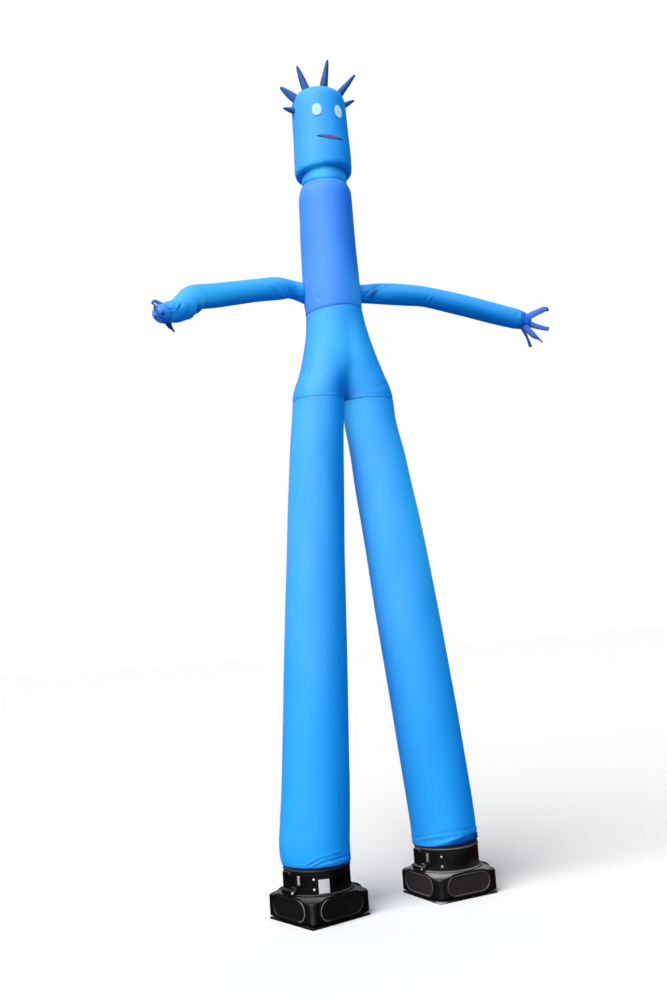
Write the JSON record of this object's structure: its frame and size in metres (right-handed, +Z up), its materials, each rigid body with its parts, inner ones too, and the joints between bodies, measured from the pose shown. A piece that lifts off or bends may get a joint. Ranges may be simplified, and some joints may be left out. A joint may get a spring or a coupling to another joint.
{
  "type": "inflatable air dancer with two blowers",
  "caption": "Inflated tube figure of blue cloth with spiky hair, long arms and two straight legs, standing on a pair of black fan blowers.",
  "frame": {"origin": "middle of the bounding box, on the floor that the blowers stand on", "axes": "+Z up the figure, -Y the way its face looks, +X from one leg across to the other"},
  "size_m": [3.3872, 0.6974, 6.4385],
  "materials": {
    "sky_cloth": "light blue ripstop nylon",
    "royal_cloth": "royal blue ripstop nylon",
    "deep_cloth": "dark blue ripstop nylon",
    "white_cloth": "white cloth patch",
    "red_cloth": "dark red cloth patch",
    "black_webbing": "black woven band",
    "black_plastic": "black moulded plastic with a low sheen",
    "mesh_grille": "black moulded grille",
    "steel": "plated steel",
    "paper": "blank pale sticker"
  },
  "bodies": {
    "root": {"arm_left": "sky_cloth", "arm_right": "sky_cloth", "base_plate_left": "black_plastic", "base_plate_right": "black_plastic", "bolt_left_lower": "steel", "bolt_left_upper": "steel", "bolt_right_lower": "steel", "bolt_right_upper": "steel", "collar_left": "black_plastic", "collar_right": "black_plastic", "cuff_left": "black_webbing", "cuff_right": "black_webbing", "eye_left": "white_cloth", "eye_right": "white_cloth", "finger_left_1": "deep_cloth", "finger_left_2": "deep_cloth", "finger_left_3": "deep_cloth", "finger_left_4": "deep_cloth", "finger_left_5": "deep_cloth", "finger_right_1": "deep_cloth", "finger_right_2": "deep_cloth", "finger_right_3": "deep_cloth", "finger_right_4": "deep_cloth", "flange_left": "black_plastic", "flange_right": "black_plastic", "grille_left_back": "mesh_grille", "grille_left_front": "mesh_grille", "grille_left_left": "mesh_grille", "grille_left_right": "mesh_grille", "grille_right_back": "mesh_grille", "grille_right_front": "mesh_grille", "grille_right_left": "mesh_grille", "grille_right_right": "mesh_grille", "hair_1": "deep_cloth", "hair_2": "deep_cloth", "hair_3": "deep_cloth", "hair_4": "deep_cloth", "hair_5": "deep_cloth", "hair_6": "deep_cloth", "head": "sky_cloth", "hinge_bolt_left": "steel", "hinge_bolt_right": "steel", "hinge_slab_left": "black_plastic", "hinge_slab_right": "black_plastic", "hips": "sky_cloth", "housing_left": "black_plastic", "housing_right": "black_plastic", "label": "paper", "latch_clip_left": "steel", "latch_clip_right": "steel", "leg_left": "sky_cloth", "leg_right": "sky_cloth", "mouth": "red_cloth", "neck": "sky_cloth", "palm_left": "royal_cloth", "palm_right": "royal_cloth", "power_inlet_left": "black_plastic", "power_inlet_right": "black_plastic", "torso": "royal_cloth"}
  },
  "joints": []
}
